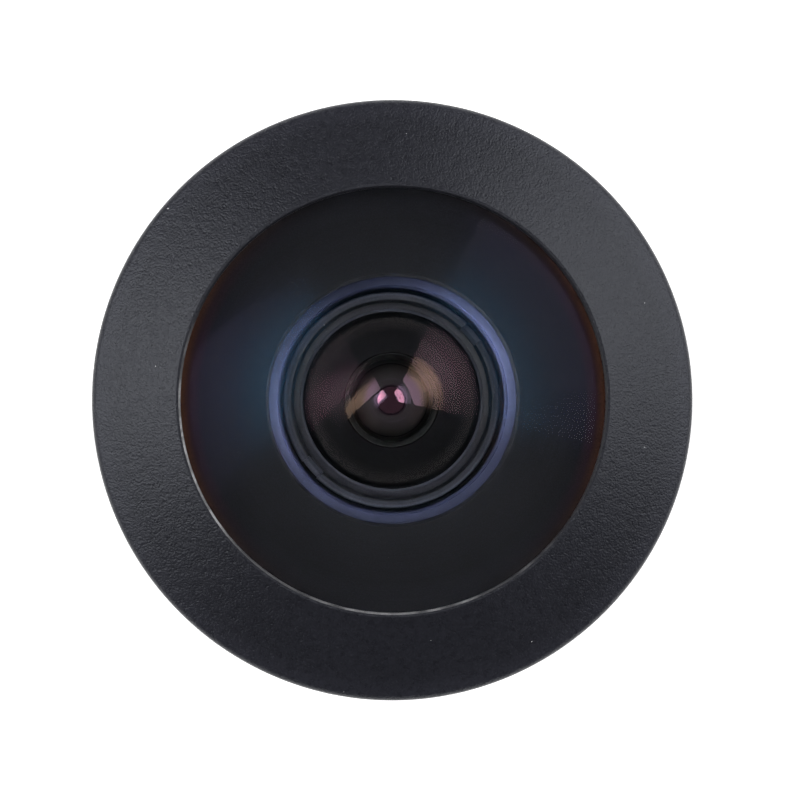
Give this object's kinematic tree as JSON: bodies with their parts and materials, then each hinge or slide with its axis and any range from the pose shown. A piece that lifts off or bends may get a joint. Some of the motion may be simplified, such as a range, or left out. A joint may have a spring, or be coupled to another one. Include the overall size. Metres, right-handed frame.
{
  "type": "s-mount lens",
  "caption": "Fisheye board-camera lens: domed front glass under a conical black ring, stepped barrel with M12 x 0.5 thread and lock ring.",
  "frame": {"origin": "centre of the barrel's rear face, on the optical axis", "axes": "+Z along the optical axis from the sensor side towards the scene; +X and +Y across the lens"},
  "size_m": [0.02, 0.02, 0.0164],
  "materials": {
    "anodised_barrel": "fine bead-blasted black anodise",
    "anodised_ring": "fine bead-blasted black anodise",
    "anodised_lock_ring": "black anodise, turned",
    "black_oxide_ring": "satin black anodise",
    "seal_rubber": "matte",
    "mask_film": "matte black film",
    "black_spacer": "matte black",
    "stop_metal": "blackened",
    "front_glass": "polished, blue-green anti-reflection coating",
    "coated_glass": "polished, magenta anti-reflection coating",
    "filter_glass": "polished, infrared-cut coating",
    "adhesive": "cured clear adhesive"
  },
  "bodies": {
    "lens": {"aperture_stop": "stop_metal", "barrel": "anodised_barrel", "fifth_element": "coated_glass", "filter_adhesive": "adhesive", "fourth_element": "coated_glass", "front_element": "front_glass", "front_ring": "anodised_ring", "front_seal": "seal_rubber", "front_shield": "mask_film", "front_spacer": "black_spacer", "infrared_filter": "filter_glass", "inner_ring": "black_oxide_ring", "pair_spacer": "black_spacer", "rear_shield": "mask_film", "rear_spacer": "black_spacer", "second_element": "coated_glass", "sixth_element": "coated_glass", "stop_spacer": "black_spacer", "third_element": "coated_glass"},
    "focus_lock": {"lock_ring": "anodised_lock_ring"}
  },
  "joints": [
    {"name": "lock_ring_travel", "type": "slide", "parent": "lens", "child": "focus_lock", "axis": [0, 0, 1], "range_m": [-0.0063, 0]}
  ]
}
